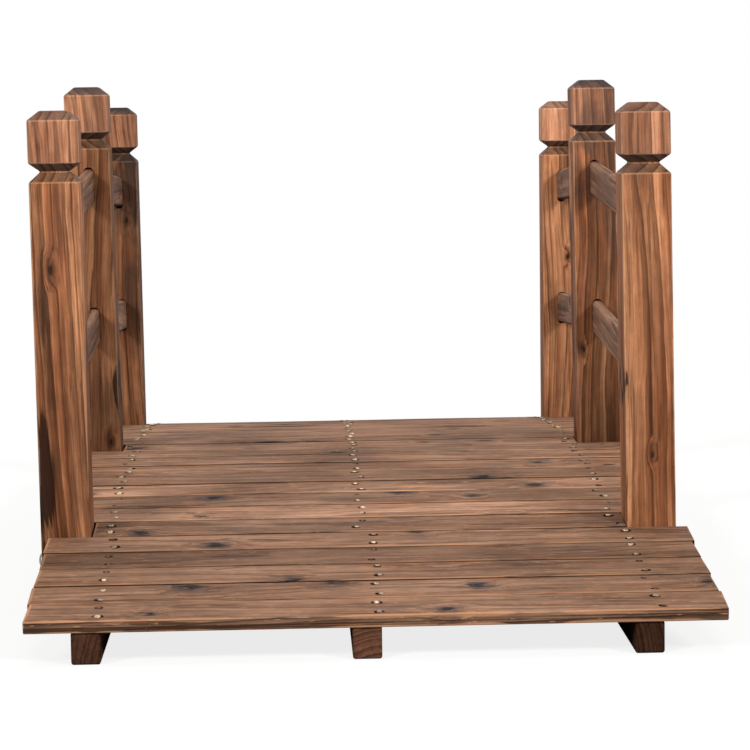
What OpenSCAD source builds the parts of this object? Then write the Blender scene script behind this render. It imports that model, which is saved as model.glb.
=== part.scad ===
// Small garden arch bridge of stained fir: a boarded deck on three bowed beams,
// with three pairs of capped posts and two rails on each side.
// The deck is an arc between the end posts and runs on straight to the ground at both ends.
// X runs across the bridge, Y along it and Z up. The origin is on the ground under the middle.

/* [Deck] */
// Length of a full board, across the bridge
board_len = 670; // [520:5:900]
// Width of a full board, along the bridge
board_w = 55; // [40:0.5:80]
// Thickness of the boards
board_t = 12; // [8:0.5:20]
// Gap between neighbouring boards
board_gap = 1.5; // [0.5:0.1:5]
// Radius of the eased upper edges of a board
board_ease = 1.5; // [0.5:0.1:3]
// Full boards between two neighbouring pairs of posts
bay_boards = 7; // [5:1:10]
// Full boards beyond the end posts, at each end
end_boards = 5; // [3:1:8]

/* [Beams] */
// Radius of the beams' bowed upper edge between the end posts
arch_r = 3890; // [3000:10:5000]
// Depth of a beam, from its upper edge to its lower edge
beam_depth = 60; // [45:1:72]
// Thickness of a beam, across the bridge
beam_w = 28; // [20:1:45]
// Height of a beam's cut end above the ground
beam_end_h = 31; // [22:1:45]
// How far a beam's cut end lies behind the edge of the deck
beam_setback = 3; // [0:0.5:20]

/* [Posts] */
// Width of a square post
post_w = 52; // [40:0.5:70]
// Height of a post above the deck
post_h = 441; // [380:1:560]
// How far the board ends reach past the posts
post_inset = 2; // [0:0.5:15]
// Height of the bevel on top of a post
top_bevel_h = 10; // [4:0.5:16]
// Inset of the bevel on top of a post
top_bevel_in = 12; // [4:0.5:18]
// Height of the straight part of a post's cap
cap_h = 44; // [30:0.5:55]
// Depth of the groove under the cap
groove_d = 11.5; // [5:0.5:15]
// Height of the groove's upper slope
groove_upper_h = 9; // [5:0.5:14]
// Height of the groove's lower slope
groove_lower_h = 11; // [5:0.5:14]

/* [Rails] */
// Height of a rail
rail_h = 40; // [28:0.5:50]
// Thickness of a rail
rail_t = 12; // [9:0.5:20]
// Radius of a rail's rounded edges
rail_round = 4; // [1:0.1:4.4]
// Drop from a post's top to the middle of the upper rail
upper_rail_drop = 117; // [112:1:150]
// Distance between the middles of the upper and the lower rail
rail_spacing = 169; // [120:1:200]
// Wood left between two mortises that meet in one post
mortise_web = 8; // [4:0.5:20]

/* [Clearances] */
// Gap between a board and the beams under it
board_seat = 0.2; // [0.1:0.05:0.5]
// Gap between a post and the full boards before and behind it
post_gap = 3; // [2:0.1:8]
// Gap between a short board's end and a post
short_gap = 2; // [0.5:0.1:6]
// Gap at each side of a rail in its mortise
mortise_side_gap = 0.3; // [0.2:0.05:0.9]
// Gap above and below a rail in its mortise
mortise_end_gap = 2; // [1.6:0.1:4]
// Gap between a rail's end and the bottom of its mortise
rail_end_gap = 2.5; // [2:0.1:5]

/* [Hidden] */
$fn = 256;
SIDES = ["left", "right"];
ENDS = ["front", "rear"];
PLACES = ["front", "middle", "rear"];
LEVELS = ["upper", "lower"];

deck_colour = "#7f5f4a";
beam_colour = "#5e4231";
post_colour = "#b07c55";
rail_colour = "#84664f";

// Spacing of the boards along the deck, measured on their undersides
board_pitch = board_w + board_gap;
short_w = post_w + 2 * post_gap - 2 * board_gap;
post_u = short_w + bay_boards * board_w + (bay_boards + 1) * board_gap;
first_full_u = short_w / 2 + board_gap + board_w / 2;
half_u = concat(
    [for (k = [0 : bay_boards - 1]) first_full_u + k * board_pitch],
    [post_u],
    [for (k = [0 : end_boards - 1]) post_u + first_full_u + k * board_pitch]
);
half_boards = len(half_u);
board_u = concat([for (k = [half_boards - 1 : -1 : 0]) -half_u[k]], [0], half_u);
deck_half_u = half_u[half_boards - 1] + board_w / 2;

// The arch: its arcs share one centre below the ground, and straight ramps carry them on
// past the short boards beside the end posts
seat_r = arch_r + board_seat;
deck_r = seat_r + board_t;
function arc_angle(u) = u / seat_r * 180 / PI;
ramp_u = post_u + short_w / 2;
ramp_angle = arc_angle(ramp_u);
ramp_len = deck_half_u - ramp_u;
beam_half = seat_r * sin(ramp_angle) + ramp_len * cos(ramp_angle) - beam_setback;
arch_centre_z = beam_end_h - (arch_r - beam_half * sin(ramp_angle)) / cos(ramp_angle);
function arc_z(r, y) = arch_centre_z + sqrt(r * r - y * y);

// Points along a bowed beam, with short steps on its arc and past the plumb cuts at its ends
bow_steps = 24;
bow_reach = deck_half_u + beam_depth;
arc_u = [for (k = [-bow_steps : bow_steps]) k / bow_steps * ramp_u];
bow_u = concat([-bow_reach], arc_u, [bow_reach]);
function on_arc(u) = max(-ramp_u, min(ramp_u, u));
function bow_point(r, u) =
    let (angle = arc_angle(on_arc(u)), along_ramp = u - on_arc(u))
    [
        r * sin(angle) + along_ramp * cos(angle),
        arch_centre_z + r * cos(angle) - along_ramp * sin(angle)
    ];

// Where the posts stand
post_x = board_len / 2 - post_inset - post_w / 2;
post_inner_x = post_x - post_w / 2;
post_end_y = seat_r * sin(arc_angle(post_u));
post_y = [-post_end_y, 0, post_end_y];
short_len = 2 * (post_inner_x - short_gap);
beam_x = post_inner_x - beam_w / 2;
function post_top_z(y) = arc_z(deck_r, y) + post_h;
function post_foot_z(y) = max(0, arc_z(arch_r - beam_depth, y));

// The line of a rail, from a middle post to an end post
rail_drop = [upper_rail_drop, upper_rail_drop + rail_spacing];
rail_fall = post_top_z(0) - post_top_z(post_end_y);
rail_tilt = atan2(rail_fall, post_end_y);
rail_len = (post_end_y - mortise_web - 2 * rail_end_gap) / cos(rail_tilt);
function rail_z(level, y) = post_top_z(0) - rail_drop[level] - rail_fall * abs(y) / post_end_y;

// The mortises that take the rails
mortise_w = rail_t + 2 * mortise_side_gap;
mortise_h = rail_h + 2 * mortise_end_gap;
mortise_round = min(mortise_w / 2, rail_round + mortise_end_gap);
mortise_depth = (post_w - mortise_web) / 2;
function mortise_y(place, face) = post_y[place] + face * (post_w - mortise_depth) / 2;

function sign_of(index) = index == 0 ? -1 : 1;
function two_digits(number) = number < 10 ? str("0", number) : str(number);
BOARDS = [for (k = [1 : len(board_u)]) str("deck_board_", two_digits(k))];
BEAMS = ["left_beam", "middle_beam", "right_beam"];
POSTS = [for (place = PLACES, side = SIDES) str(place, "_", side, "_post")];
RAILS = [for (end = ENDS, side = SIDES, level = LEVELS) str(end, "_", side, "_", level, "_rail")];

// Rectangle of w by h about its middle, with rounded corners
module rounded_rect(w, h, round) {
    square([w - 2 * round, h], center = true);
    square([w, h - 2 * round], center = true);
    for (x = [-1, 1], y = [-1, 1])
        translate([x * (w / 2 - round), y * (h / 2 - round)]) circle(r = round);
}

// Section of a board, standing on its underside, with its upper edges eased
module board_section(w) {
    translate([-w / 2, 0]) square([w, board_t - board_ease]);
    translate([-w / 2 + board_ease, 0]) square([w - 2 * board_ease, board_t]);
    for (x = [-1, 1])
        translate([x * (w / 2 - board_ease), board_t - board_ease]) circle(r = board_ease);
}

// Places a child on the beams, at length u from the crown along the arc and its ramps
module on_arch(u) {
    translate([0, 0, arch_centre_z])
        rotate([-arc_angle(on_arc(u)), 0, 0])
            translate([0, u - on_arc(u), seat_r]) children();
}

// Extrudes a section drawn in Y and Z along X
module across(length) {
    rotate([90, 0, 90]) linear_extrude(height = length, center = true) children();
}

// Extrudes a section drawn in X and Z along Y
module along(length) {
    rotate([90, 0, 0]) linear_extrude(height = length, center = true) children();
}

// A board beside a pair of posts ends short, between them
module deck_board(index) {
    u = board_u[index];
    beside_posts = u == 0 || abs(u) == post_u;
    color(deck_colour)
        on_arch(u)
            across(beside_posts ? short_len : board_len)
                board_section(beside_posts ? short_w : board_w);
}

// Side view of a bowed beam, before its ends and feet are cut
module bow_outline() {
    upper = [for (u = bow_u) bow_point(arch_r, u)];
    lower = [for (u = bow_u) bow_point(arch_r - beam_depth, -u)];
    polygon(concat(upper, lower));
}

// A bowed beam, cut off plumb at its ends and flat on the ground
module beam(index) {
    color(beam_colour)
        translate([(index - 1) * beam_x, 0, 0])
            across(beam_w)
                intersection() {
                    bow_outline();
                    translate([-beam_half, 0]) square([2 * beam_half, arc_z(seat_r, 0)]);
                }
}

// Outline of a post from its foot to its bevelled top, with the groove under the cap
module post_outline(foot_z, top_z) {
    half = post_w / 2;
    cap_top_z = top_z - top_bevel_h;
    cap_foot_z = cap_top_z - cap_h;
    groove_z = cap_foot_z - groove_upper_h;
    shaft_top_z = groove_z - groove_lower_h;
    edge = [
        [half, foot_z],
        [half, shaft_top_z],
        [half - groove_d, groove_z],
        [half, cap_foot_z],
        [half, cap_top_z],
        [half - top_bevel_in, top_z]
    ];
    last = len(edge) - 1;
    polygon(concat(edge, [for (k = [last : -1 : 0]) [-edge[k][0], edge[k][1]]]));
}

// The same outline cut on all four sides of a square bar
module post_blank(foot_z, top_z) {
    intersection() {
        along(post_w) post_outline(foot_z, top_z);
        across(post_w) post_outline(foot_z, top_z);
    }
}

// Blind mortise in the front (-1) or rear (1) face of a post
module mortise(place, face, level) {
    y = mortise_y(place, face);
    translate([0, y, rail_z(level, y)])
        along(mortise_depth) rounded_rect(mortise_w, mortise_h, mortise_round);
}

// A post stands against the outer face of a side beam and takes the rails of its neighbouring bays
module post(place, side) {
    y = post_y[place];
    faces = place == 0 ? [1] : place == 1 ? [-1, 1] : [-1];
    color(post_colour)
        translate([sign_of(side) * post_x, 0, 0])
            difference() {
                translate([0, y, 0]) post_blank(post_foot_z(y), post_top_z(y));
                for (face = faces, level = [0, 1]) mortise(place, face, level);
            }
}

// A rail slopes from a middle post down to an end post, parallel to the deck
module rail(end, side, level) {
    middle_y = sign_of(end) * post_end_y / 2;
    color(rail_colour)
        translate([sign_of(side) * post_x, middle_y, rail_z(level, middle_y)])
            rotate([-sign_of(end) * rail_tilt, 0, 0])
                along(rail_len) rounded_rect(rail_t, rail_h, rail_round);
}

for (k = [0 : len(BOARDS) - 1])
    deck_board(k);
for (k = [0 : len(BEAMS) - 1])
    beam(k);
for (place = [0 : 2], side = [0 : 1])
    post(place, side);
for (end = [0 : 1], side = [0 : 1], level = [0 : 1])
    rail(end, side, level);
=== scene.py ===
"""Dresses the garden arch bridge: its boards, beams, posts and rails, with nails, bolts, floor and light."""

import math
import random

import bmesh
import bpy
from mathutils import Matrix, Vector, noise


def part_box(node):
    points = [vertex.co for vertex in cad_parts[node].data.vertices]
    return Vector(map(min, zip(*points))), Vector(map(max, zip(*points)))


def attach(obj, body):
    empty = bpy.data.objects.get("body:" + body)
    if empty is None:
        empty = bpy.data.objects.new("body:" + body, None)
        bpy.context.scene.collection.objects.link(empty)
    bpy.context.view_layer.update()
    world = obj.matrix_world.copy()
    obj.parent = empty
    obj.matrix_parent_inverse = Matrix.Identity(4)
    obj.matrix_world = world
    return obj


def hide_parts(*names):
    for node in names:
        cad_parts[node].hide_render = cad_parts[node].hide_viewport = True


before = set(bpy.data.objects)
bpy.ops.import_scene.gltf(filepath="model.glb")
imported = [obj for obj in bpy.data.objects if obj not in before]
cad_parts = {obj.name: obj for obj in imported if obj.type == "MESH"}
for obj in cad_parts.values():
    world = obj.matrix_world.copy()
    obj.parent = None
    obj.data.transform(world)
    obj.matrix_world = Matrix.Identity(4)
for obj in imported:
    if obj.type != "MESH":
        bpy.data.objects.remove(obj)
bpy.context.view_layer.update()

# Sizes in metres
BOARD_EASE = 0.0022
BOARD_CORNER = 0.0008
POST_ARRIS = 0.0016
RAIL_ROUND = 0.004
RAIL_H = 0.040
BEAM_ARRIS = 0.0022
CAP_BEVEL_H = 0.010
CAP_BEVEL_IN = 0.012
CAP_H = 0.044
GROOVE_UPPER_H = 0.009
GROOVE_LOWER_H = 0.011
GROOVE_D = 0.0115
MORTISE_W = 0.0126
MORTISE_H = 0.044
MORTISE_DEPTH = 0.022
MORTISE_ROUND = 0.006
BOARD_SEAT = 0.0002
SHORT_GAP = 0.0015
BOARD_TRIM = 0.0004
BOARD_DRAFT = 0.0014
SEAM_TOP = 0.0002
SEAM_FADE = 0.0007
NAIL_R = 0.0034
NAIL_H = 0.0010
NAIL_ROW = 0.0145
SUNK_SIZE = 0.75
RIM_W = 0.0011
RIM_H = 0.0003
BOLT_R = 0.0085
BOLT_H = 0.0045

# Where a post's two bolts sit: share of the way up to the deck, and along the bridge
BOLT_SPOTS = ((0.3, 0.011), (0.7, -0.011))

# How finely the long pieces are divided
BOARD_CUTS = 30
BEAM_CUTS = 72
RAIL_CUTS = 14

# How many boards the front ramp has, and how far they and their nails lie to the right
RAMP_BOARDS = 5
RAMP_SHIFT = 0.0045
RAMP_NAIL_SHIFT = 0.0035

# How far boards, rails and nails differ from each other
BOARD_SHIFT = 0.0008
END_STEP = 0.0015
END_SKEW = 0.03
BOARD_TURN = 0.001
BOARD_CUP = (-0.0004, 0.0007)
BOARD_LIFT = (-0.0005, 0.0009)
BOARD_WAVE = 0.0004
EDGE_WANDER = 0.0007
RAIL_BEND = 0.0006
NAIL_DRIFT = 0.004
NAIL_LEAN = 0.1
SUNK_SHARE = 0.28

# How far the middle beam lies to the right
MIDDLE_BEAM_SHIFT = -0.0045

# How light the stain is on boards, rails and beams, and how many boards on each side of the crown are darker
BOARD_STAIN = (0.72, 1.14)
RAMP_STAIN = 0.82
CROWN_STAIN = 0.88
CROWN_BOARDS = 3
RAIL_STAIN = (0.74, 0.9)
BEAM_STAIN = {"left": 0.64, "middle": 1.3, "right": 0.44}

# How far the dark heartwood reaches from the pith, and how soon it ends there
HEART_R = 0.062
HEART_INNER = 0.0025
HEART_OUTER = 0.0015

# How much lighter the sapwood is, as a share of how much darker the heartwood is
SAPWOOD = 0.7

# How far the soot fades out below the groove, and how soon it starts on the top
SOOT_FADE = 0.22
SOOT_EDGE = 0.003

# The posts, one row each
# stand: how far it stands to the right, at the deck and at its top
# pith: the middle of its log, across and behind the post's middle
# stain: how light it is at the deck, under the groove and on the cap
# soot: how sooty it is under the groove, on the cap and on its top
# branch: a knot's place across, its height above the foot and its radius
# scorch: a burnt wedge's place across, its height above the foot and its size, or one too far off to show
NO_WEDGE = (9.0, 9.0, 0.001)
POSTS = {
    "front_left": dict(stand=(-0.0045, -0.0083), pith=(-0.047, 0.010), stain=(0.5, 1.0, 0.97),
                       soot=(0.3, 0.1, 0.35), branch=(-0.007, 0.350, 0.0034), scorch=(-0.029, 0.150, 0.019)),
    "front_right": dict(stand=(-0.0020, -0.0073), pith=(-0.030, 0.016), stain=(1.02, 1.0, 0.96),
                        soot=(0.25, 0.14, 0.3), branch=(0.002, 0.146, 0.0024), scorch=(-0.027, 0.215, 0.004)),
    "middle_left": dict(stand=(-0.0005, -0.0078), pith=(0.012, 0.020), stain=(0.42, 0.68, 1.0),
                        soot=(0.2, 0.12, 0.85), branch=(0.014, 0.084, 0.0030), scorch=(0.029, 0.150, 0.009)),
    "middle_right": dict(stand=(-0.0045, -0.0105), pith=(0.040, 0.008), stain=(0.25, 1.12, 0.95),
                         soot=(0.6, 0.48, 1.0), branch=(-0.017, 0.186, 0.0024), scorch=NO_WEDGE),
    "rear_left": dict(stand=(0.0020, -0.0013), pith=(-0.034, 0.020), stain=(0.42, 0.56, 0.74),
                      soot=(0.86, 0.3, 1.0), branch=(0.010, 0.360, 0.0034), scorch=NO_WEDGE),
    "rear_right": dict(stand=(-0.0045, -0.0038), pith=(0.058, 0.020), stain=(0.56, 0.88, 1.35),
                       soot=(0.25, 0.08, 0.35), branch=(0.008, 0.300, 0.0024), scorch=NO_WEDGE)}

# The camera, from the lines of the deck and the posts
CAMERA_AT = (-0.0675, -3.2233, 0.5304)
CAMERA_YAW = -0.02991
CAMERA_PITCH = 0.10454
CAMERA_ROLL = 0.01477
FOCAL_PIXELS = 2642.9
PICTURE_PIXELS = 750
SENSOR = 36.0

# Floor and light
FLOOR_SIZE = 40.0
WORLD_STRENGTH = 0.28
BRIDGE_MIDDLE = (0, 0, 0.25)
LAMP_WHITE = (1.0, 0.97, 0.93)

# A half size too great for any edge to be near
FAR = 10.0

SIDES = {"left": -1, "right": 1}
PLACES = ("front", "middle", "rear")


def tint(red, green, blue):
    """A colour given as seen on a screen, 0 to 255, as the linear colour a shader takes."""
    def linear(value):
        value /= 255
        return value / 12.92 if value <= 0.04045 else ((value + 0.055) / 1.055) ** 2.4
    return (linear(red), linear(green), linear(blue), 1.0)


def palette(**colours):
    """The colours of a finish, each given as seen on a screen."""
    return {name: tint(*colour) for name, colour in colours.items()}


# Nodes of a material

def put(tree, kind, inputs=(), **settings):
    """Adds a node, with its settings and the values or sockets of its inputs."""
    node = tree.nodes.new(kind)
    for name, value in settings.items():
        setattr(node, name, value)
    for key, value in dict(inputs).items():
        if isinstance(value, bpy.types.NodeSocket):
            tree.links.new(value, node.inputs[key])
        else:
            node.inputs[key].default_value = value
    return node


def calc(tree, operation, first, second=0.0, third=0.0, clamp=False):
    """One step of arithmetic."""
    given = {0: first, 1: second, 2: third}
    return put(tree, "ShaderNodeMath", given, operation=operation, use_clamp=clamp).outputs[0]


def times(tree, first, second):
    """The product of two values."""
    return calc(tree, "MULTIPLY", first, second)


def vector_calc(tree, operation, first, second):
    """One step of vector arithmetic."""
    return put(tree, "ShaderNodeVectorMath", {0: first, 1: second}, operation=operation).outputs[0]


def ease(tree, value, low, high, start=0.0, end=1.0):
    """Goes smoothly from start to end as value goes from low to high."""
    limits = {"Value": value, "From Min": low, "From Max": high, "To Min": start, "To Max": end}
    return put(tree, "ShaderNodeMapRange", limits, interpolation_type="SMOOTHSTEP").outputs["Result"]


def split(tree, vector):
    """The three parts of a vector."""
    return put(tree, "ShaderNodeSeparateXYZ", {0: vector}).outputs


def distance(tree, first, second):
    """How far two steps at right angles lead."""
    return calc(tree, "SQRT", calc(tree, "ADD", times(tree, first, first), times(tree, second, second)))


def chance(tree, number):
    """A fixed chance from 0 to 1 for each whole number."""
    return put(tree, "ShaderNodeTexWhiteNoise", {"W": number}, noise_dimensions="1D").outputs["Value"]


def mix(tree, share, first, second, blend="MIX"):
    """Blends two colours."""
    node = put(tree, "ShaderNodeMix", {0: share, 6: first, 7: second}, data_type="RGBA", blend_type=blend)
    return node.outputs[2]


def dim(tree, colour, value):
    """A colour made darker or lighter by a value."""
    grey = put(tree, "ShaderNodeCombineColor", {0: value, 1: value, 2: value}).outputs[0]
    return mix(tree, 1.0, colour, grey, "MULTIPLY")


def vary(tree, colour, value, low, high, amount):
    """A colour made darker where a value is low and lighter where it is high."""
    return dim(tree, colour, ease(tree, value, low, high, 1 - amount, 1 + amount))


def drawn_in(tree, value, middle, share):
    """A value drawn in towards a middle: a share of 1 leaves it, 0 gives the middle."""
    return calc(tree, "MULTIPLY_ADD", calc(tree, "SUBTRACT", value, middle), share, middle)


def stretched(tree, vector, along, across, deep):
    """Scales the log's directions before a pattern reads them."""
    return vector_calc(tree, "MULTIPLY", vector, (along, across, deep))


def cloud(tree, vector, detail=2.0, roughness=0.5, output=0):
    """Soft noise from 0 to 1, or a noisy colour."""
    given = {"Vector": vector, "Scale": 1.0, "Detail": detail, "Roughness": roughness}
    return put(tree, "ShaderNodeTexNoise", given).outputs[output]


def streaks(tree, vector, along, across, detail=2.0, roughness=0.5, output=0):
    """Noise drawn out along the grain."""
    return cloud(tree, stretched(tree, vector, along, across, across), detail, roughness, output)


def wobble(tree, vector, along, across, detail, roughness):
    """Noise about zero in each direction."""
    noisy = streaks(tree, vector, along, across, detail, roughness, 1)
    return vector_calc(tree, "SUBTRACT", noisy, (0.5, 0.5, 0.5))


def speckle(tree, where, scale, detail):
    """Noise that is even in all directions."""
    return put(tree, "ShaderNodeTexNoise", {"Vector": where, "Scale": scale, "Detail": detail}).outputs[0]


def new_group(name, inputs, outputs):
    """A node group with named sockets: values, vectors or colours."""
    kinds = {"value": "NodeSocketFloat", "vector": "NodeSocketVector", "colour": "NodeSocketColor"}
    tree = bpy.data.node_groups.new(name, "ShaderNodeTree")
    for side, sockets in (("INPUT", inputs), ("OUTPUT", outputs)):
        for label, kind in sockets.items():
            tree.interface.new_socket(label, in_out=side, socket_type=kinds[kind])
    return tree, tree.nodes.new("NodeGroupInput").outputs, tree.nodes.new("NodeGroupOutput").inputs


def give(tree, out, **results):
    """Joins the results to a group's outputs."""
    for label, socket in results.items():
        tree.links.new(socket, out[label])


KNOT_MARKS = {"Core": "value", "Stain": "value", "Swell": "value"}


def knot_masks(tree, reach):
    """Dark core, stain and swell of a knot, from the distance to its middle."""
    core = ease(tree, reach, 0.45, 0.85, 1.0, 0.0)
    stain = ease(tree, reach, 0.7, 1.9, 1.0, 0.0)
    swell = ease(tree, reach, 0.3, 4.0, 1.0, 0.0)
    return core, stain, swell


def board_knots():
    """Where branches cross a board: dark cores, grey stain around them, and the swell of the rings."""
    tree, given, out = new_group("board_knots", {"Log": "vector", "Share": "value"}, KNOT_MARKS)
    flat = stretched(tree, given["Log"], 14.0, 17.0, 0.0)
    ragged = wobble(tree, given["Log"], 80.0, 190.0, 3.0, 0.6)
    flat = vector_calc(tree, "ADD", flat, vector_calc(tree, "MULTIPLY", ragged, (0.42, 0.22, 0.0)))
    cells = put(tree, "ShaderNodeTexVoronoi", {"Vector": flat, "Scale": 1.0, "Randomness": 0.9},
                voronoi_dimensions="2D").outputs
    luck = put(tree, "ShaderNodeSeparateColor", {0: cells["Color"]}).outputs
    kept = calc(tree, "LESS_THAN", luck[0], given["Share"])
    size = ease(tree, luck[1], 0.0, 1.0, 0.09, 0.22)
    masks = knot_masks(tree, calc(tree, "DIVIDE", cells["Distance"], size))
    core, stain, swell = (times(tree, mask, kept) for mask in masks)
    give(tree, out, Core=core, Stain=stain, Swell=swell)
    return tree


def post_knot():
    """The one knot of a post, long along the grain."""
    tree, given, out = new_group("post_knot", {"Place": "vector", "Branch": "vector", "Log": "vector"},
                                 KNOT_MARKS)
    ragged = wobble(tree, given["Log"], 60.0, 140.0, 2.0, 0.5)
    ragged = vector_calc(tree, "MULTIPLY", ragged, (0.004, 0.0, 0.012))
    x, _, z = split(tree, vector_calc(tree, "ADD", given["Place"], ragged))
    branch_x, branch_z, size = split(tree, given["Branch"])
    aside = calc(tree, "SUBTRACT", x, branch_x)
    up = times(tree, calc(tree, "SUBTRACT", z, branch_z), 0.42)
    core, stain, swell = knot_masks(tree, calc(tree, "DIVIDE", distance(tree, aside, up), size))
    give(tree, out, Core=core, Stain=stain, Swell=swell)
    return tree


def growth_rings():
    """Yearly rings about the pith, which wander along the log, and the dark heartwood inside them."""
    tree, given, out = new_group("growth_rings",
                                 {"Log": "vector", "Gap": "value", "Waver": "value", "Swell": "value"},
                                 {"Line": "value", "Shade": "value", "Ring": "value", "Luck": "value",
                                  "Flow": "vector", "Early": "value", "Heart": "value"})
    slow = streaks(tree, given["Log"], 2.6, 7.0, 1.0, 0.5, 1)
    quick = streaks(tree, given["Log"], 13.0, 34.0, 2.0, 0.5, 1)
    drift = vector_calc(tree, "SUBTRACT", mix(tree, 0.1, slow, quick), (0.5, 0.5, 0.5))
    drift = put(tree, "ShaderNodeVectorMath", {0: drift, "Scale": given["Waver"]}, operation="SCALE")
    moved = vector_calc(tree, "ADD", given["Log"], drift.outputs[0])
    _, across, deep = split(tree, moved)
    swell = times(tree, given["Swell"], 0.006)
    radius = calc(tree, "ADD", distance(tree, across, deep), swell)
    bulge = put(tree, "ShaderNodeCombineXYZ", {1: swell, 2: swell}).outputs[0]
    flow = vector_calc(tree, "ADD", moved, bulge)
    count = calc(tree, "DIVIDE", radius, given["Gap"])
    uneven = put(tree, "ShaderNodeTexNoise", {"W": times(tree, count, 0.4), "Scale": 1.0, "Detail": 1.0},
                 noise_dimensions="1D").outputs[0]
    count = calc(tree, "ADD", count, times(tree, uneven, 2.6))
    part = calc(tree, "FRACT", count)
    ring = calc(tree, "FLOOR", count)
    luck = chance(tree, ring)
    close = ease(tree, part, 0.93, 1.0, 1.0, 0.0)
    late = times(tree, calc(tree, "POWER", part, 6.0), close)
    line = times(tree, late, ease(tree, luck, 0.0, 0.8, 0.3, 1.25))
    shade = times(tree, times(tree, part, part), close)
    early = times(tree, ease(tree, part, 0.02, 0.22, 1.0, 0.0), luck)
    heart = ease(tree, radius, HEART_R - HEART_INNER, HEART_R + HEART_OUTER, 1.0, 0.0)
    give(tree, out, Line=line, Shade=shade, Ring=ring, Luck=luck, Flow=flow, Early=early, Heart=heart)
    return tree


def arris_wear():
    """Mask of the rubbed, painted-highlight edges of a squared piece: both nearest faces are close."""
    tree, given, out = new_group("arris_wear", {"Place": "vector", "Half": "vector", "Width": "value"},
                                 {"Edge": "value"})
    size = put(tree, "ShaderNodeVectorMath", {0: given["Place"]}, operation="ABSOLUTE").outputs[0]
    x, y, z = split(tree, vector_calc(tree, "SUBTRACT", given["Half"], size))
    least = calc(tree, "MINIMUM", calc(tree, "MINIMUM", x, y), z)
    most = calc(tree, "MAXIMUM", calc(tree, "MAXIMUM", x, y), z)
    total = calc(tree, "ADD", calc(tree, "ADD", x, y), z)
    second = calc(tree, "SUBTRACT", calc(tree, "SUBTRACT", total, least), most)
    ragged = speckle(tree, given["Place"], 14.0, 4.0)
    reach = times(tree, given["Width"], ease(tree, ragged, 0.35, 0.68, 0.15, 1.3))
    give(tree, out, Edge=ease(tree, calc(tree, "DIVIDE", second, reach), 0.4, 1.0, 1.0, 0.0))
    return tree


def weather_marks():
    """Dark checks, reddish, pale and grey lines and slow changes of tone that run along the grain."""
    tree, given, out = new_group("weather_marks", {"Log": "vector"},
                                 {"Check": "value", "Red": "value", "Tone": "value", "Pale": "value",
                                  "Grey": "value"})
    check = streaks(tree, given["Log"], 3.2, 170.0, 2.0, 0.55)
    red = streaks(tree, given["Log"], 1.8, 120.0, 2.0)
    tone = streaks(tree, given["Log"], 2.2, 30.0, 3.0, 0.6)
    pale = streaks(tree, given["Log"], 2.8, 95.0, 3.0, 0.6)
    grey = streaks(tree, given["Log"], 5.5, 26.0, 4.0, 0.65)
    give(tree, out, Check=ease(tree, check, 0.595, 0.64), Red=ease(tree, red, 0.56, 0.68),
         Tone=ease(tree, tone, 0.36, 0.64), Pale=ease(tree, pale, 0.54, 0.68),
         Grey=ease(tree, grey, 0.46, 0.66))
    return tree


def scorching():
    """Burnt bands that keep to whole rings, with ragged ends, and a burnt wedge."""
    tree, given, out = new_group("scorching",
                                 {"Log": "vector", "Ring": "value", "Fibre": "value", "Place": "vector",
                                  "Scorch": "vector"},
                                 {"Band": "value", "Wedge": "value"})
    ragged = times(tree, calc(tree, "SUBTRACT", given["Fibre"], 0.5), 0.14)
    along = times(tree, calc(tree, "ADD", split(tree, given["Log"])[0], ragged), 3.6)
    spot = put(tree, "ShaderNodeCombineXYZ", {0: along, 1: times(tree, given["Ring"], 0.47)}).outputs[0]
    band = ease(tree, cloud(tree, spot, 2.0), 0.54, 0.66)
    x, _, z = split(tree, given["Place"])
    scorch_x, scorch_z, size = split(tree, given["Scorch"])
    up = calc(tree, "SUBTRACT", calc(tree, "ADD", z, ragged), scorch_z)
    aside = calc(tree, "ADD", calc(tree, "SUBTRACT", x, scorch_x), times(tree, up, 0.14))
    reach = times(tree, size, ease(tree, chance(tree, given["Ring"]), 0.0, 1.0, 0.9, 1.1))
    far = calc(tree, "DIVIDE", distance(tree, aside, times(tree, up, 0.28)), reach)
    give(tree, out, Band=band, Wedge=ease(tree, far, 0.84, 1.02, 1.0, 0.0))
    return tree


BOARD_KNOTS = board_knots()
POST_KNOT = post_knot()
RINGS = growth_rings()
ARRIS = arris_wear()
WEATHER = weather_marks()
SCORCHING = scorching()


def place_group(tree, group, **inputs):
    """Puts a node group into a material, with its own values."""
    return put(tree, "ShaderNodeGroup", inputs, node_tree=group).outputs


def new_material(name, roughness, specular):
    """A material with a bare Principled shader."""
    material = bpy.data.materials.new(name)
    material.use_nodes = True
    tree = material.node_tree
    shader = tree.nodes["Principled BSDF"]
    shader.inputs["Roughness"].default_value = roughness
    shader.inputs["Specular IOR Level"].default_value = specular
    return material, tree, shader


def piece_value(tree, name, output="Vector"):
    """Reads what was noted on a piece's points."""
    return put(tree, "ShaderNodeAttribute", attribute_name=name).outputs[output]


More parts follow.
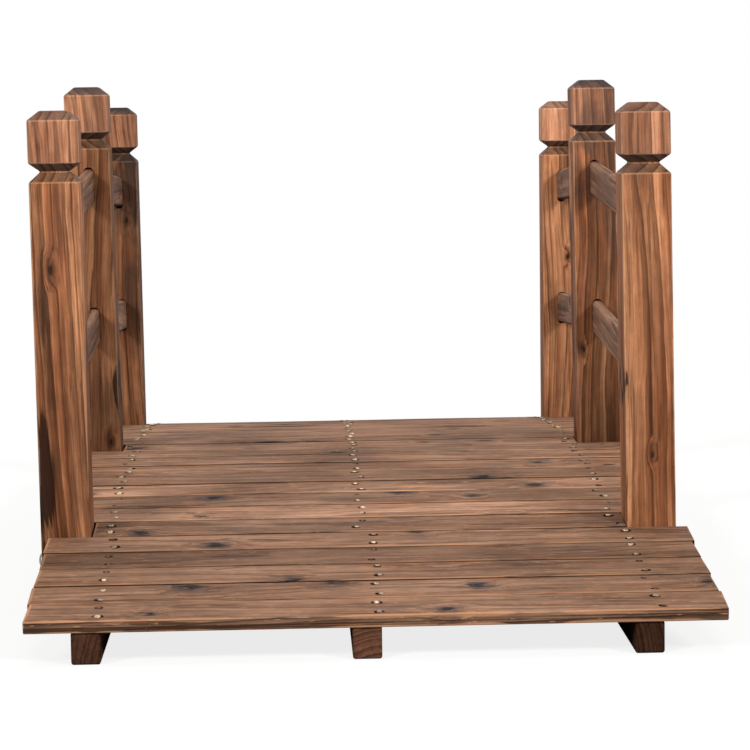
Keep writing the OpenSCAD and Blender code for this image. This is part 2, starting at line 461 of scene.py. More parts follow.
def wood(name, colours, axis, half, ring_gap, waver, fine_grain, broad_grain, amounts):
    """Stained fir with rings, knots, weather marks, scorched bands, cut ends, painted shade and worn, highlit
    edges.

    The amounts are the strengths of its marks. Sheen is the gloss, short shortens the weather marks, side and
    line are the rings' lines on upright and on flat faces, and arris is the width of the rubbed edges, which
    carry a painted highlight.
    """
    material, tree, shader = new_material(name, 0.6, amounts["sheen"])
    log = piece_value(tree, "log")
    place = piece_value(tree, "place")
    normal = put(tree, "ShaderNodeNewGeometry").outputs["Normal"]
    facing = split(tree, normal)[2]
    level = calc(tree, "ABSOLUTE", facing)
    flat = ease(tree, level, 0.3, 0.8)

    # Knots, rings and the fibres that run with them, all calmer on a cap
    if "knots" in amounts:
        knot = place_group(tree, BOARD_KNOTS, Log=log, Share=amounts["knots"])
    else:
        knot = place_group(tree, POST_KNOT, Place=place, Branch=piece_value(tree, "branch"), Log=log)
    ring = place_group(tree, RINGS, Log=log, Gap=ring_gap, Waver=waver, Swell=knot["Swell"])
    flow = ring["Flow"]
    marks = place_group(tree, WEATHER, Log=stretched(tree, flow, amounts["short"], 1.0, 1.0))
    fine = streaks(tree, flow, *fine_grain, 4.0, 0.65)
    broad = streaks(tree, flow, *broad_grain, 3.0, 0.6)
    mottle = streaks(tree, log, 60.0, 90.0, 4.0, 0.7)
    line = times(tree, ring["Line"], ease(tree, flat, 0.0, 1.0, amounts["side"], amounts["line"]))
    band = amounts["char"]
    tone = marks["Tone"]
    heart = ring["Heart"]
    if "cap" in amounts:
        calm = ease(tree, piece_value(tree, "cap", "Fac"), 0.0, 1.0, 1.0, amounts["calm"])
        line = times(tree, line, calm)
        band = times(tree, calm, band)
        tone = drawn_in(tree, tone, 0.5, calm)
        heart = drawn_in(tree, heart, 0.4, calm)

    # The stained wood
    colour = mix(tree, tone, colours["dull"], colours["light"])
    colour = vary(tree, colour, ring["Luck"], 0.0, 1.0, amounts["luck"])
    if "heart" in amounts:
        deep = amounts["heart"]
        colour = dim(tree, colour, ease(tree, heart, 0.0, 1.0, 1 + SAPWOOD * deep, 1 - deep))
    for mask, amount, layer in ((ring["Shade"], "shade", "late"), (marks["Red"], "red", "red"),
                                (marks["Pale"], "pale", "pale"), (ring["Early"], "early", "pale"),
                                (marks["Grey"], "grey", "grey")):
        colour = mix(tree, times(tree, mask, amounts[amount]), colour, colours[layer])
    colour = dim(tree, colour, ease(tree, knot["Swell"], 0.0, 1.0, 1.0, 1 - amounts["smoke"]))
    colour = vary(tree, colour, fine, 0.38, 0.62, amounts["fine"])
    colour = vary(tree, colour, broad, 0.36, 0.64, amounts["broad"])
    colour = vary(tree, colour, mottle, 0.36, 0.64, amounts["mottle"])
    colour = mix(tree, line, colour, colours["check"])

    # Scorched bands, checks and the dark of the knots
    burnt = place_group(tree, SCORCHING, Log=log, Ring=ring["Ring"], Fibre=broad, Place=place,
                        Scorch=piece_value(tree, "scorch"))
    char = calc(tree, "MAXIMUM", times(tree, burnt["Band"], band), times(tree, burnt["Wedge"], 0.93))
    colour = mix(tree, char, colour, mix(tree, ring["Shade"], colours["char"], colours["check"]))
    colour = mix(tree, times(tree, marks["Check"], amounts["check"]), colour, colours["check"])
    stain = times(tree, knot["Stain"], ease(tree, fine, 0.43, 0.57, 0.3, 0.95))
    colour = mix(tree, stain, colour, colours["stain"])
    colour = mix(tree, times(tree, knot["Core"], 0.85), colour, colours["knot"])

    # Painted shade on undersides, upright faces made darker, and cut ends that drink the most stain
    # Painted shade: faces that look down are darkened
    colour = dim(tree, colour, ease(tree, facing, -0.7, -0.3, 0.16, 1.0))
    # Upright faces are made darker by this amount
    colour = dim(tree, colour, ease(tree, flat, 0.0, 1.0, 1 - amounts["soaked"], 1.0))
    end = put(tree, "ShaderNodeVectorMath", {0: normal, 1: axis}, operation="DOT_PRODUCT").outputs["Value"]
    end = ease(tree, calc(tree, "ABSOLUTE", end), 0.35, 0.72, 0.0, amounts["end"])
    colour = mix(tree, end, colour, mix(tree, ring["Shade"], colours["end"], colours["check"]))

    # Soot on a post's head, and rubbed edges with a painted highlight
    edge = place_group(tree, ARRIS, Place=place, Half=half, Width=amounts["arris"])["Edge"]
    if "cap" in amounts:
        soot = piece_value(tree, "soot", "Fac")
        patch = streaks(tree, log, 12.0, 26.0, 3.0, 0.6)
        patch = ease(tree, calc(tree, "MULTIPLY_ADD", soot, 0.3, patch), 0.52, 0.72)
        colour = mix(tree, times(tree, patch, soot), colour, colours["soot"])
        # The cap's rounded arrises, between side and bevel, get the same worn edge with a painted highlight
        bend = times(tree, ease(tree, level, 0.15, 0.3, 0.0, 0.5), ease(tree, level, 0.58, 0.68, 1.0, 0.0))
        edge = calc(tree, "MAXIMUM", edge, times(tree, bend, ease(tree, mottle, 0.35, 0.55, 0.3, 1.0)))
    colour = mix(tree, times(tree, edge, amounts["rubbed"]), colour, colours["rubbed"])

    # Trodden patches, splinters and saw ridges of the deck, and its dark joints: dirt with painted shade of
    # the gaps
    if "seam" in colours:
        where = put(tree, "ShaderNodeTexCoord").outputs["Object"]
        trodden = streaks(tree, where, 6.0, 6.0, 3.0, 0.6)
        colour = dim(tree, colour, ease(tree, trodden, 0.36, 0.64, 0.86, 1.08))
        splinter = ease(tree, streaks(tree, flow, 60.0, 420.0, 1.0), 0.66, 0.72, 0.0, 0.6)
        colour = mix(tree, splinter, colour, colours["rubbed"])
        ridge = ease(tree, cloud(tree, stretched(tree, place, 1.6, 0.0, 520.0), 1.0), 0.5, 0.6)
        ridge = times(tree, ridge, ease(tree, flat, 0.0, 1.0, 0.8, 0.0))
        colour = mix(tree, ridge, colour, colours["check"])
        colour = mix(tree, piece_value(tree, "seam", "Fac"), colour, colours["seam"])

    # The stain of the cap and of the whole piece
    if "cap" in amounts:
        paler = mix(tree, 1.0, colour, amounts["cap"], "MULTIPLY")
        colour = mix(tree, piece_value(tree, "cap", "Fac"), colour, paler)
    colour = dim(tree, colour, piece_value(tree, "stain", "Fac"))
    tree.links.new(colour, shader.inputs["Base Color"])

    # Dull and slightly furrowed along the grain
    tree.links.new(ease(tree, fine, 0.25, 0.75, 0.5, 0.74), shader.inputs["Roughness"])
    height = calc(tree, "ADD", times(tree, ring["Shade"], 0.45), times(tree, fine, 0.6))
    height = calc(tree, "SUBTRACT", height, times(tree, marks["Check"], 0.8))
    bump = put(tree, "ShaderNodeBump", {"Strength": 0.5, "Distance": 0.0009, "Height": height})
    tree.links.new(bump.outputs["Normal"], shader.inputs["Normal"])
    return material


def steel(name, colour, roughness, spots, metallic=1.0):
    """Dull plated steel with spots."""
    material, tree, shader = new_material(name, roughness, 0.5 * metallic)
    shader.inputs["Metallic"].default_value = metallic
    where = put(tree, "ShaderNodeTexCoord").outputs["Object"]
    dull = speckle(tree, where, 420.0, 3.0)
    patch = speckle(tree, where, 37.0, 1.0)
    share = calc(tree, "MAXIMUM", ease(tree, dull, 0.4, 0.7), ease(tree, patch, 0.42, 0.6))
    tree.links.new(mix(tree, share, colour, spots), shader.inputs["Base Color"])
    tree.links.new(ease(tree, dull, 0.3, 0.7, roughness, roughness + 0.25), shader.inputs["Roughness"])
    return material


# Sizes taken from the frame

def middle_and_size(node):
    """Middle and size of a CAD node's box."""
    low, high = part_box(node)
    return (low + high) / 2, high - low


def tilt_of(board):
    """Slope of a board along the bridge, from the normal of its upper face."""
    faces = [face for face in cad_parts[board].data.polygons if face.normal.z > 0.5]
    normal = max(faces, key=lambda face: face.area).normal
    return math.atan2(-normal.y, normal.z)


BOARDS = sorted(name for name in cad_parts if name.startswith("deck_board"))
CROWN = BOARDS[len(BOARDS) // 2]
crown_middle, crown_size = middle_and_size(CROWN)
BOARD_W = crown_size.y
BOARD_T = crown_size.z
FULL_LEN = middle_and_size(BOARDS[0])[1].x
beam_middle, beam_size = middle_and_size("left_beam")
BEAM_X = -beam_middle.x
BEAM_W = beam_size.x
post_middle, post_size = middle_and_size("front_left_post")
POST_W = post_size.x
POST_X = -post_middle.x
POST_END_Y = -post_middle.y
POST_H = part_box("middle_left_post")[1].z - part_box(CROWN)[1].z
RAIL_T = middle_and_size("front_left_upper_rail")[1].x

# The arch: the boards between the end posts lie on a circle, and those beyond on straight ramps
RAMP_TILT = abs(tilt_of(BOARDS[0]))


def on_ramp(board):
    """Whether a board lies on one of the straight ramps."""
    return abs(tilt_of(board)) > RAMP_TILT * 0.9


bay_board = next(name for name in BOARDS if not on_ramp(name))
ARC_R = abs(middle_and_size(bay_board)[0].y) / math.sin(abs(tilt_of(bay_board)))
ARC_Z = crown_middle.z - ARC_R
TOP_R = ARC_R - BOARD_T / 2 - BOARD_SEAT


def hold(value, low=0.0, high=1.0):
    """A value held between two limits."""
    return max(low, min(high, value))


def bow_z(y, radius):
    """Height of the arc of that radius, carried on along the ramps."""
    bend_y = radius * math.sin(RAMP_TILT)
    if abs(y) <= bend_y:
        return ARC_Z + math.sqrt(radius * radius - y * y)
    return ARC_Z + radius * math.cos(RAMP_TILT) - (abs(y) - bend_y) * math.tan(RAMP_TILT)


def stand(side, y, z):
    """How far the posts of one side stand to the right at y, at a height."""
    share = hold(y / POST_END_Y, -1.0)
    end = POSTS[("front_" if share < 0 else "rear_") + side]["stand"]
    middle = POSTS["middle_" + side]["stand"]
    foot, head = [middle[k] + (end[k] - middle[k]) * abs(share) for k in (0, 1)]
    up = hold((z - bow_z(y, ARC_R)) / POST_H)
    return foot + (head - foot) * up


# Making the pieces

def new_object(name, bm):
    """Turns a mesh into an object of the scene."""
    mesh = bpy.data.meshes.new(name)
    bm.to_mesh(mesh)
    bm.free()
    thing = bpy.data.objects.new(name, mesh)
    bpy.context.scene.collection.objects.link(thing)
    return thing


def finish_piece(name, bm, material, node=None, notes=None, at=None):
    """Turns a mesh into a piece that rides on the bridge, with what its points note for the material."""
    points = [vertex.co.copy() for vertex in bm.verts]
    if at is not None:
        for vertex in bm.verts:
            vertex.co = at(vertex.co)
    for face in bm.faces:
        face.smooth = True
    piece = new_object(name, bm)
    mesh = piece.data
    for label, rule in (notes or {}).items():
        values = [rule(point) for point in points] if callable(rule) else [rule] * len(points)
        if isinstance(values[0], (int, float)):
            mesh.attributes.new(label, "FLOAT", "POINT").data.foreach_set("value", values)
        else:
            layer = mesh.attributes.new(label, "FLOAT_VECTOR", "POINT")
            layer.data.foreach_set("vector", [part for value in values for part in value])
    mesh.materials.append(material)
    even = piece.modifiers.new("even_normals", "WEIGHTED_NORMAL")
    even.keep_sharp = True
    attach(piece, "root")
    if node:
        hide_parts(node)
    return piece


def bar(length, width, height):
    """A squared bar along X about its middle."""
    bm = bmesh.new()
    bmesh.ops.create_cube(bm, size=1.0)
    bmesh.ops.scale(bm, vec=(length, width, height), verts=bm.verts)
    return bm


def long_edges(bm, axis, least):
    """The edges that run along an axis for at least a given length."""
    found = []
    for edge in bm.edges:
        run = edge.verts[1].co - edge.verts[0].co
        if abs(run[axis]) > least and abs(run[axis]) > 0.99 * run.length:
            found.append(edge)
    return found


def sharp_edges(bm, least):
    """The edges whose faces meet at more than a given angle."""
    return [edge for edge in bm.edges if edge.calc_face_angle(0) > least]


def round_edges(bm, edges, size, segments):
    """Rounds edges over."""
    bmesh.ops.bevel(bm, geom=edges, offset=size, offset_type="OFFSET", segments=segments, profile=0.5,
                    affect="EDGES", clamp_overlap=True, material=-1)


def score(bm, point, direction):
    """Divides a piece's faces where a plane crosses them."""
    whole = bm.verts[:] + bm.edges[:] + bm.faces[:]
    bmesh.ops.bisect_plane(bm, geom=whole, dist=1e-6, plane_co=point, plane_no=direction)


def log_rule(dice, order, pith):
    """How a point of a piece sits in the log it was cut from: along it, and away from its pith."""
    start = dice.uniform(0.0, 9.0)
    turn = dice.uniform(-0.05, 0.05)

    def rule(point):
        along, first, second = (point[axis] for axis in order)
        return (along + start, first - pith[0] + turn * along, second - pith[1])
    return rule


BOARD_TOP = {}


def make_board(name, material):
    """A deck board with eased edges, ends that aren't quite square, and a little cup and bow."""
    dice = random.Random(name)
    middle, size = middle_and_size(name)
    number = BOARDS.index(name)
    full = size.x > FULL_LEN * 0.95
    if full:
        shift = (RAMP_SHIFT if number < RAMP_BOARDS else 0.0) + dice.uniform(-BOARD_SHIFT, BOARD_SHIFT)
        length = size.x
    else:
        left, right = (stand(side, middle.y, middle.z) for side in SIDES)
        shift = (left + right) / 2
        length = 2 * (POST_X - POST_W / 2 - SHORT_GAP) + right - left
    width = BOARD_W - 2 * BOARD_TRIM
    bm = bar(length, width, BOARD_T)
    ease_size = BOARD_EASE * dice.uniform(0.7, 1.2)
    round_edges(bm, long_edges(bm, 0, length / 2), ease_size, 3)
    round_edges(bm, sharp_edges(bm, 0.9), BOARD_CORNER, 1)
    bmesh.ops.subdivide_edges(bm, edges=long_edges(bm, 0, length / 2), cuts=BOARD_CUTS, use_grid_fill=True)
    ends = {}
    for side in (-1, 1):
        ends[side] = (dice.uniform(-END_STEP, END_STEP), dice.uniform(-END_SKEW, END_SKEW))
    cup = dice.uniform(*BOARD_CUP)
    seed = dice.uniform(0, 100)
    lift = dice.uniform(*BOARD_LIFT)
    open_side = {0: -1, len(BOARDS) - 1: 1}.get(number, 0)
    skewed = Matrix.Rotation(dice.uniform(-BOARD_TURN, BOARD_TURN), 3, "Z")
    turn = Matrix.Rotation(tilt_of(name), 3, "X") @ skewed

    # How dark a board's side is below its top edge: dirt and painted shade of the gap
    def seam(point):
        side = 1 if point.y > 0 else -1
        if side == open_side or abs(point.y) < width / 2 - ease_size * 1.05:
            return 0.0
        return hold((BOARD_T / 2 - point.z - SEAM_TOP) / SEAM_FADE)

    def at(point):
        end = 1 if point.x > 0 else -1
        side = 1 if point.y > 0 else -1
        near_end = max(0.0, abs(point.x) / (length / 2) - 0.9) * 10
        step, skew = ends[end] if full else (0.0, 0.0)
        x = point.x + near_end * (step + skew * point.y)
        top = max(0.0, point.z / (BOARD_T / 2))
        wander = noise.noise(Vector((point.x * 7.0, seed, side * 3.0))) * EDGE_WANDER
        y = point.y + wander * top * abs(point.y) / (BOARD_W / 2)
        if point.z < 0 and side != open_side:
            y += side * BOARD_DRAFT * (abs(point.y) > width / 4)
        wave = noise.noise(Vector((point.x * 4.0, seed, 5.0))) * BOARD_WAVE
        z = point.z + top * (cup * (point.y / (BOARD_W / 2)) ** 2 + wave + lift)
        return turn @ Vector((x, y, z)) + middle + Vector((shift, 0, 0))

    BOARD_TOP[name] = at
    share = RAMP_STAIN if on_ramp(name) else 1.0
    if abs(number - len(BOARDS) // 2) <= CROWN_BOARDS:
        share = CROWN_STAIN
    pith = (dice.uniform(-0.03, 0.03), dice.choice((-1, 1)) * dice.uniform(0.03, 0.08))
    notes = {"log": log_rule(dice, (0, 1, 2), pith),
             "place": lambda point: (point.x * FULL_LEN / length, point.y, point.z),
             "seam": seam, "scorch": NO_WEDGE, "stain": dice.uniform(*BOARD_STAIN) * share}
    return finish_piece(name.replace("deck_board", "board"), bm, material, name, notes, at)


def make_beam(name, material):
    """A bowed beam: a straight bar bent to the arch, sawn plumb at the ends and flat on the ground."""
    dice = random.Random(name)
    middle, size = middle_and_size(name)
    side = name.split("_")[0]
    bm = bar(size.y, size.x, 1.0)
    bmesh.ops.subdivide_edges(bm, edges=long_edges(bm, 0, size.y / 2), cuts=BEAM_CUTS, use_grid_fill=True)
    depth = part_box(CROWN)[0].z - BOARD_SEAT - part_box("middle_left_post")[0].z
    foot = next(y / 1000 for y in range(1000) if bow_z(y / 1000, TOP_R - depth) <= 0)
    for vertex in bm.verts:
        along, aside, up = vertex.co
        top = bow_z(along, TOP_R)
        low = max(0.0, bow_z(along, TOP_R - depth))
        vertex.co = (aside + middle.x, along, top if up > 0 else low)
    for y in (-foot, foot):
        score(bm, (0, y, 0), (0, 1, 0))
    bmesh.ops.recalc_face_normals(bm, faces=bm.faces[:])
    round_edges(bm, sharp_edges(bm, 0.6), BEAM_ARRIS, 2)

    def at(point):
        aside = stand(side, point.y, 0.0) if side in SIDES else MIDDLE_BEAM_SHIFT
        return Vector((point.x + aside, point.y, point.z))

    notes = {"log": log_rule(dice, (1, 0, 2), (dice.uniform(-0.03, 0.03), -0.05)),
             "place": lambda point: (point.x - middle.x, point.y, point.z - size.z / 2),
             "scorch": NO_WEDGE, "stain": BEAM_STAIN[side]}
    return finish_piece(name.replace("beam", "bowed_beam"), bm, material, name, notes, at)


def slot_cutter(x, y, z):
    """The round-ended slot of a mortise, along Y."""
    bm = bar(MORTISE_W, MORTISE_DEPTH * 2, MORTISE_H)
    round_edges(bm, long_edges(bm, 1, MORTISE_DEPTH), MORTISE_ROUND, 6)
    bmesh.ops.translate(bm, vec=(x, y, z), verts=bm.verts)
    return bm


def rail_line(side, level, y):
    """Height of the middle of the rail that meets a post, at y."""
    end = "front" if y < 0 else "rear"
    middle, size = middle_and_size(f"{end}_{side}_{level}_rail")
    return middle.z - (abs(y) - abs(middle.y)) * (size.z - RAIL_H) / size.y


def cut_slots(name, bm, slots):
    """Cuts mortises into a post and gives its new mesh."""
    body = new_object(name + "_body", bm)
    tools = [new_object("slot", slot_cutter(*spot)) for spot in slots]
    for tool in tools:
        step = body.modifiers.new("mortise", "BOOLEAN")
        step.operation = "DIFFERENCE"
        step.solver = "EXACT"
        step.object = tool
    cut = body.evaluated_get(bpy.context.evaluated_depsgraph_get())
    bm = bmesh.new()
    bm.from_mesh(cut.to_mesh())
    cut.to_mesh_clear()
    for thing in tools + [body]:
        bpy.data.objects.remove(thing)
    return bm


def make_post(place, side, material):
    """A square post with a bevelled top, a groove under its cap and blind mortises for the rails."""
    key = f"{place}_{side}"
    row = POSTS[key]
    name = key + "_post"
    dice = random.Random(name)
    low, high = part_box(name)
    middle = (low + high) / 2
    half = POST_W / 2
    bm = bar(POST_W, POST_W, high.z - low.z)
    bmesh.ops.translate(bm, vec=middle, verts=bm.verts)
    cap_top = high.z - CAP_BEVEL_H
    cap_foot = cap_top - CAP_H
    groove = cap_foot - GROOVE_UPPER_H
    shaft_top = groove - GROOVE_LOWER_H
    for z in (cap_top, cap_foot, groove, shaft_top):
        score(bm, (0, 0, z), (0, 0, 1))
    for z, inset in ((groove, GROOVE_D), (high.z, CAP_BEVEL_IN)):
        ring = [vertex for vertex in bm.verts if abs(vertex.co.z - z) < 1e-5]
        keep = 1 - inset / half
        bmesh.ops.scale(bm, vec=(keep, keep, 1), verts=ring, space=Matrix.Translation(-middle))
    round_edges(bm, sharp_edges(bm, 0.3), POST_ARRIS, 3)
    faces = {"front": (1,), "middle": (-1, 1), "rear": (-1,)}[place]
    slots = []
    for face in faces:
        for level in ("upper", "lower"):
            z = rail_line(side, level, middle.y + face * (half - MORTISE_DEPTH / 2))
            slots.append((middle.x, middle.y + face * half, z))
    bm = cut_slots(name, bm, slots)
    deck_z = bow_z(middle.y, ARC_R)

    def at(point):
        return Vector((point.x + stand(side, middle.y, point.z), point.y, point.z))

    def local(point):
        return (point.x - middle.x, point.y - middle.y, point.z - low.z)

    def on_cap(point):
        return hold((point.z - groove) / GROOVE_UPPER_H)

    def stain(point):
        foot, top, cap = row["stain"]
        up = hold((point.z - deck_z) / (shaft_top - deck_z))
        shaft = foot + (top - foot) * up
        return shaft + (cap - shaft) * on_cap(point)

    def soot(point):
        shaft, cap, top = row["soot"]
        shaft *= hold(1 - (shaft_top - point.z) / SOOT_FADE)
        on_top = hold((point.z - cap_top) / SOOT_EDGE)
        below = shaft + (cap - shaft) * on_cap(point)
        return below + (top - below) * on_top

    log = log_rule(dice, (2, 0, 1), row["pith"])
    notes = {"log": lambda point: log(local(point)), "place": local, "stain": stain, "branch": row["branch"],
             "scorch": row["scorch"], "cap": on_cap, "soot": soot}
    return finish_piece(key + "_upright", bm, material, name, notes, at)


def make_rail(name, material):
    """A rail with rounded edges, sloping from a middle post down to an end post."""
    dice = random.Random(name)
    middle, size = middle_and_size(name)
    side = name.split("_")[1]
    slope = math.atan2(size.z - RAIL_H, size.y)
    bm = bar(size.y, size.x, RAIL_H)
    round_edges(bm, long_edges(bm, 0, size.y / 2), RAIL_ROUND, 4)
    bmesh.ops.subdivide_edges(bm, edges=long_edges(bm, 0, size.y / 2), cuts=RAIL_CUTS, use_grid_fill=True)
    seed = dice.uniform(0, 100)
    turn = Matrix.Rotation(slope if middle.y < 0 else -slope, 3, "X") @ Matrix.Rotation(math.pi / 2, 3, "Z")

    def at(point):
        bend = noise.noise(Vector((point.x * 5, seed, 0))) * RAIL_BEND
        there = turn @ Vector((point.x, point.y, point.z + bend)) + middle
        there.x += stand(side, there.y, there.z)
        return there

    notes = {"log": log_rule(dice, (0, 2, 1), (dice.uniform(-0.02, 0.02), 0.045)), "place": tuple,
             "scorch": NO_WEDGE, "stain": dice.uniform(*RAIL_STAIN)}
    return finish_piece(name.replace("_rail", "_handrail"), bm, material, name, notes, at)


def nail_head(bm, matrix, radius, height):
    """A flat-domed nail head."""
    made = bmesh.ops.create_cone(bm, cap_ends=True, segments=12, radius1=radius, radius2=radius * 0.86,
                                 depth=height)
    top = {vertex for vertex in made["verts"] if vertex.co.z > 0}
    face = next(face for face in top.copy().pop().link_faces if set(face.verts) == top)
    inner = bmesh.ops.inset_region(bm, faces=[face], thickness=radius * 0.3, depth=height * 0.22)
    dome = {vertex for part in inner["faces"] for vertex in part.verts}
    bmesh.ops.transform(bm, matrix=matrix, verts=list(dome | set(made["verts"]) | set(face.verts)))


def make_nails(bright, sunk, rim):
    """Two nails through each board into each beam: most with a bright head, some driven in and rusty."""
    dice = random.Random("nails")
    heads = {"bright": bmesh.new(), "sunk": bmesh.new()}
    rims = bmesh.new()
    for number, name in enumerate(BOARDS):
        shift = RAMP_NAIL_SHIFT if number < RAMP_BOARDS else 0.0
        for line in (-1, 0, 1):
            for row in (-1, 1):
                x = line * BEAM_X + dice.uniform(-NAIL_DRIFT, NAIL_DRIFT) + shift
                y = row * NAIL_ROW + dice.uniform(-NAIL_DRIFT, NAIL_DRIFT)
                kind = "sunk" if dice.random() < SUNK_SHARE else "bright"
                tip = (Matrix.Rotation(tilt_of(name) + dice.uniform(-NAIL_LEAN, NAIL_LEAN), 4, "X")
                       @ Matrix.Rotation(dice.uniform(-NAIL_LEAN, NAIL_LEAN), 4, "Y"))
                radius = NAIL_R * dice.uniform(0.85, 1.12) * (SUNK_SIZE if kind == "sunk" else 1.0)
                lift = NAIL_H * (dice.uniform(0.15, 0.4) if kind == "bright" else -0.2)
                spot = Matrix.Translation(BOARD_TOP[name](Vector((x, y, BOARD_T / 2)))) @ tip
                nail_head(heads[kind], spot @ Matrix.Translation((0, 0, lift)), radius, NAIL_H)
                # A dark disc round each head: rust stain, with painted shade of the pit round the head
                made = bmesh.ops.create_cone(rims, cap_ends=True, segments=14, radius1=radius + RIM_W,
                                             radius2=radius + RIM_W * 0.7, depth=RIM_H)["verts"]
                bmesh.ops.scale(rims, vec=(dice.uniform(1.0, 1.5), 1, 1), verts=made)
                bmesh.ops.transform(rims, matrix=spot, verts=made)
    finish_piece("bright_nails", heads["bright"], bright)
    finish_piece("sunk_nails", heads["sunk"], sunk)
    finish_piece("nail_stains", rims, rim)


def make_bolts(material):
    """Domed bolt heads that hold each post to its side beam."""
    bm = bmesh.new()
    for place in PLACES:
        for side, sign in SIDES.items():
            low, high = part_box(f"{place}_{side}_post")
            y = (low.y + high.y) / 2
            top = bow_z(y, TOP_R)
            for share, slip in BOLT_SPOTS:
                verts = bmesh.ops.create_uvsphere(bm, u_segments=16, v_segments=8, radius=BOLT_R)["verts"]
                bmesh.ops.scale(bm, vec=(1, 1, BOLT_H / BOLT_R), verts=verts)
                x = sign * (POST_X + POST_W / 2) + stand(side, y, 0.0)
                spot = Matrix.Translation((x, y + slip, low.z + share * (top - low.z)))
                spot = spot @ Matrix.Rotation(sign * math.pi / 2, 4, "Y")
                bmesh.ops.transform(bm, matrix=spot, verts=verts)
    finish_piece("post_bolts", bm, material)


# Finishes

POST_COLOURS = palette(light=(186, 129, 92), dull=(140, 88, 59), late=(100, 57, 35), red=(140, 78, 48),
                       pale=(204, 152, 112), char=(48, 33, 28), check=(52, 28, 18), stain=(78, 50, 37),
                       knot=(40, 27, 22), end=(106, 80, 63), rubbed=(206, 162, 128), grey=(108, 80, 64),
                       soot=(60, 53, 52))
# The deck's seam colour is the dirt and painted shade in the gaps between boards
DECK_COLOURS = palette(light=(162, 125, 102), dull=(138, 103, 82), late=(94, 64, 48), red=(146, 94, 66),
                       pale=(182, 147, 122), char=(86, 66, 56), check=(48, 32, 25), stain=(74, 67, 68),
                       knot=(32, 29, 31), end=(106, 78, 62), rubbed=(196, 146, 110), grey=(110, 93, 85),
                       seam=(20, 13, 10))
RAIL_COLOURS = palette(light=(156, 119, 98), dull=(120, 89, 73), late=(92, 65, 51), red=(134, 89, 66),
                       pale=(178, 142, 119), char=(84, 65, 55), check=(48, 33, 26), stain=(84, 71, 65),
                       knot=(50, 43, 41), end=(100, 75, 61), rubbed=(184, 146, 120), grey=(120, 100, 90))
BEAM_COLOURS = palette(light=(104, 70, 53), dull=(70, 46, 35), late=(52, 34, 26), red=(90, 56, 40),
                       pale=(122, 85, 64), char=(42, 30, 26), check=(30, 20, 16), stain=(52, 40, 35),
                       knot=(36, 29, 27), end=(92, 61, 46), rubbed=(128, 90, 68), grey=(70, 56, 49))

deck_wood = wood(
    "stained_deck_boards", DECK_COLOURS, axis=(1, 0, 0), half=(FULL_LEN / 2, BOARD_W / 2, BOARD_T / 2),
    ring_gap=0.0066, waver=0.018, fine_grain=(9.0, 300.0), broad_grain=(6.0, 90.0),
    amounts=dict(sheen=0.01, short=2.6, mottle=0.08, knots=0.22, line=0.34, side=1.0, shade=0.42, early=0.16,
                 luck=0.04, red=0.5, pale=0.2, grey=0.3, fine=0.14, broad=0.12, char=0.1, check=0.42,
                 smoke=0.06, soaked=0.28, end=0.3, arris=0.0036, rubbed=0.72))
post_wood = wood(
    "scorched_posts", POST_COLOURS, axis=(0, 0, 1), half=(POST_W / 2, POST_W / 2, FAR),
    ring_gap=0.0092, waver=0.036, fine_grain=(9.0, 420.0), broad_grain=(4.0, 100.0),
    amounts=dict(sheen=0.02, short=1.0, heart=0.3, mottle=0.07, line=0.78, side=0.78, shade=0.36, early=0.2,
                 luck=0.1, red=0.4, pale=0.24, grey=0.14, fine=0.24, broad=0.12, char=0.45, check=0.4,
                 smoke=0.26, soaked=0.0, end=0.75, arris=0.0022, rubbed=0.5, cap=(0.98, 1.06, 1.25, 1.0),
                 calm=0.5))
rail_wood = wood(
    "stained_rails", RAIL_COLOURS, axis=(0, 1, 0), half=(FAR, RAIL_T / 2, RAIL_H / 2),
    ring_gap=0.006, waver=0.016, fine_grain=(9.0, 300.0), broad_grain=(5.0, 110.0),
    amounts=dict(sheen=0.02, short=1.5, mottle=0.08, knots=0.12, line=0.25, side=0.3, shade=0.2, early=0.06,
                 luck=0.05, red=0.3, pale=0.3, grey=0.25, fine=0.22, broad=0.18, char=0.2, check=0.5,
                 smoke=0.1, soaked=0.0, end=0.4, arris=0.003, rubbed=0.3))
beam_wood = wood(
    "dark_beams", BEAM_COLOURS, axis=(0, 1, 0), half=(BEAM_W / 2, FAR, FAR),
    ring_gap=0.005, waver=0.02, fine_grain=(9.0, 300.0), broad_grain=(5.0, 110.0),
    amounts=dict(sheen=0.0, short=1.0, mottle=0.1, knots=0.12, line=0.3, side=0.3, shade=0.3, early=0.14,
                 luck=0.08, red=0.3, pale=0.3, grey=0.3, fine=0.24, broad=0.2, char=0.4, check=0.5,
                 smoke=0.1, soaked=0.0, end=0.6, arris=0.003, rubbed=0.4))
bright_steel = steel("dull_nails", (0.5, 0.39, 0.26, 1), 0.4, (0.15, 0.105, 0.07, 1))
rusty_steel = steel("rusty_nails", (0.16, 0.11, 0.08, 1), 0.6, (0.06, 0.035, 0.025, 1))
# Dark discs round the nail heads: rust stain with painted shade
rim_rust_and_shade = steel("nail_stains", (0.03, 0.02, 0.015, 1), 0.8, (0.018, 0.012, 0.009, 1), 0.0)
bolt_steel = steel("plated_bolts", (0.42, 0.41, 0.38, 1), 0.36, (0.2, 0.18, 0.15, 1))

for board in BOARDS:
    make_board(board, deck_wood)
for beam in ("left_beam", "middle_beam", "right_beam"):
    make_beam(beam, beam_wood)
for place_name in PLACES:
    for side_name in SIDES:
        make_post(place_name, side_name, post_wood)
for rail in sorted(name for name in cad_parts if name.endswith("_rail")):
    make_rail(rail, rail_wood)
make_nails(bright_steel, rusty_steel, rim_rust_and_shade)
make_bolts(bolt_steel)


# Floor, light and camera

def seen_rays(tree):
    """1 for the rays that show a surface directly, in a reflection or through glass."""
    path = put(tree, "ShaderNodeLightPath").outputs
    both = calc(tree, "ADD", path["Is Glossy Ray"], path["Is Transmission Ray"])
    return calc(tree, "ADD", path["Is Camera Ray"], both, clamp=True)


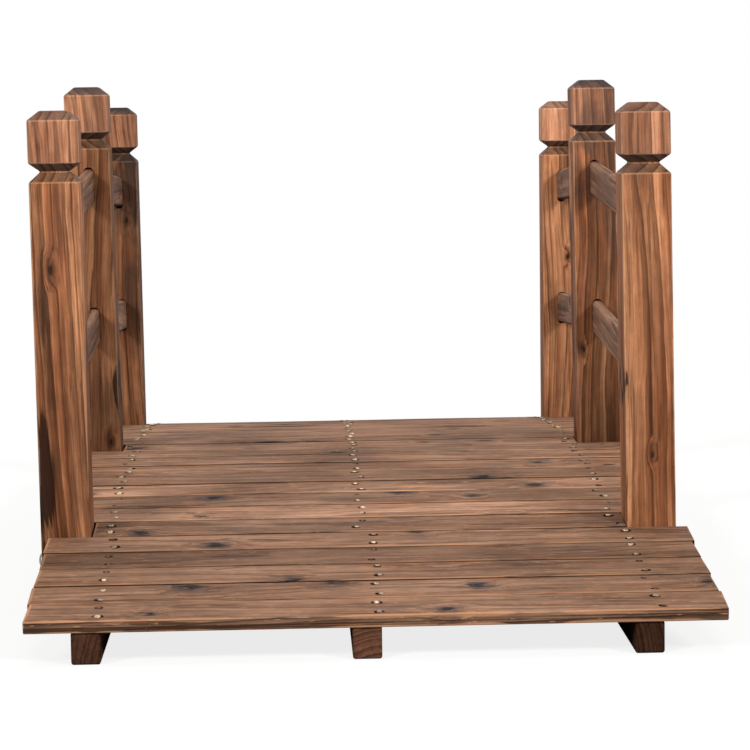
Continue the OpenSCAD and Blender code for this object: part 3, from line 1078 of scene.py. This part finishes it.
def make_floor():
    """A plain white floor that keeps the bridge's soft shadow and runs into the white background."""
    bm = bmesh.new()
    bmesh.ops.create_grid(bm, x_segments=1, y_segments=1, size=FLOOR_SIZE)
    floor = new_object("floor", bm)
    material = bpy.data.materials.new("white_floor")
    material.use_nodes = True
    tree = material.node_tree
    tree.nodes.clear()
    where = put(tree, "ShaderNodeTexCoord").outputs["Object"]
    far = put(tree, "ShaderNodeVectorMath", {0: where}, operation="LENGTH").outputs["Value"]
    glow = put(tree, "ShaderNodeEmission", {"Color": (1, 1, 1, 1), "Strength": 1.0}).outputs[0]
    seen = seen_rays(tree)
    grey = mix(tree, seen, (0.5, 0.5, 0.5, 1), (0.95, 0.95, 0.95, 1))
    matt = put(tree, "ShaderNodeBsdfDiffuse", {"Color": grey}).outputs[0]
    share = times(tree, seen, ease(tree, far, 0.9, 3.2, 0.82, 1.0))
    both = put(tree, "ShaderNodeMixShader", {0: share, 1: matt, 2: glow}).outputs[0]
    put(tree, "ShaderNodeOutputMaterial", {"Surface": both})
    floor.data.materials.append(material)


def make_world(strength):
    """White to the camera and in reflections, softer as a light."""
    world = bpy.data.worlds.new("studio")
    bpy.context.scene.world = world
    world.use_nodes = True
    tree = world.node_tree
    tree.nodes.clear()
    warm = (1.0, 0.985, 0.97, 1)
    soft = put(tree, "ShaderNodeBackground", {"Color": warm, "Strength": strength}).outputs[0]
    white = put(tree, "ShaderNodeBackground", {"Color": (1, 1, 1, 1), "Strength": 1.0}).outputs[0]
    both = put(tree, "ShaderNodeMixShader", {0: seen_rays(tree), 1: soft, 2: white}).outputs[0]
    put(tree, "ShaderNodeOutputWorld", {"Surface": both})


def soft_light(name, at, aim, size, power, colour):
    """A large soft lamp."""
    data = bpy.data.lights.new(name, "AREA")
    data.shape = "DISK"
    data.size = size
    data.energy = power
    data.color = colour
    lamp = bpy.data.objects.new(name, data)
    lamp.location = at
    lamp.rotation_euler = (Vector(aim) - Vector(at)).to_track_quat("-Z", "Y").to_euler()
    bpy.context.scene.collection.objects.link(lamp)


def make_camera():
    """The photograph's viewpoint."""
    data = bpy.data.cameras.new("camera")
    data.sensor_width = SENSOR
    data.lens = FOCAL_PIXELS / PICTURE_PIXELS * SENSOR
    data.clip_end = 200.0
    camera = bpy.data.objects.new("camera", data)
    turn = (Matrix.Rotation(CAMERA_YAW, 3, "Z") @ Matrix.Rotation(math.pi / 2 - CAMERA_PITCH, 3, "X")
            @ Matrix.Rotation(-CAMERA_ROLL, 3, "Z"))
    camera.matrix_world = Matrix.Translation(CAMERA_AT) @ turn.to_4x4()
    bpy.context.scene.collection.objects.link(camera)
    bpy.context.scene.camera = camera


make_floor()
make_world(WORLD_STRENGTH)
soft_light("left_lamp", (-3.9, -4.3, 3.4), BRIDGE_MIDDLE, 1.4, 280.0, LAMP_WHITE)
soft_light("right_lamp", (3.9, -4.3, 3.4), BRIDGE_MIDDLE, 1.4, 280.0, LAMP_WHITE)
soft_light("top_lamp", (0.0, 0.3, 4.5), (0, 0.1, 0.0), 3.0, 60.0, LAMP_WHITE)
soft_light("back_lamp", (0.0, 5.2, 3.4), BRIDGE_MIDDLE, 2.6, 90.0, (1.0, 0.98, 0.96))
make_camera()
bpy.context.scene.view_settings.view_transform = "Standard"
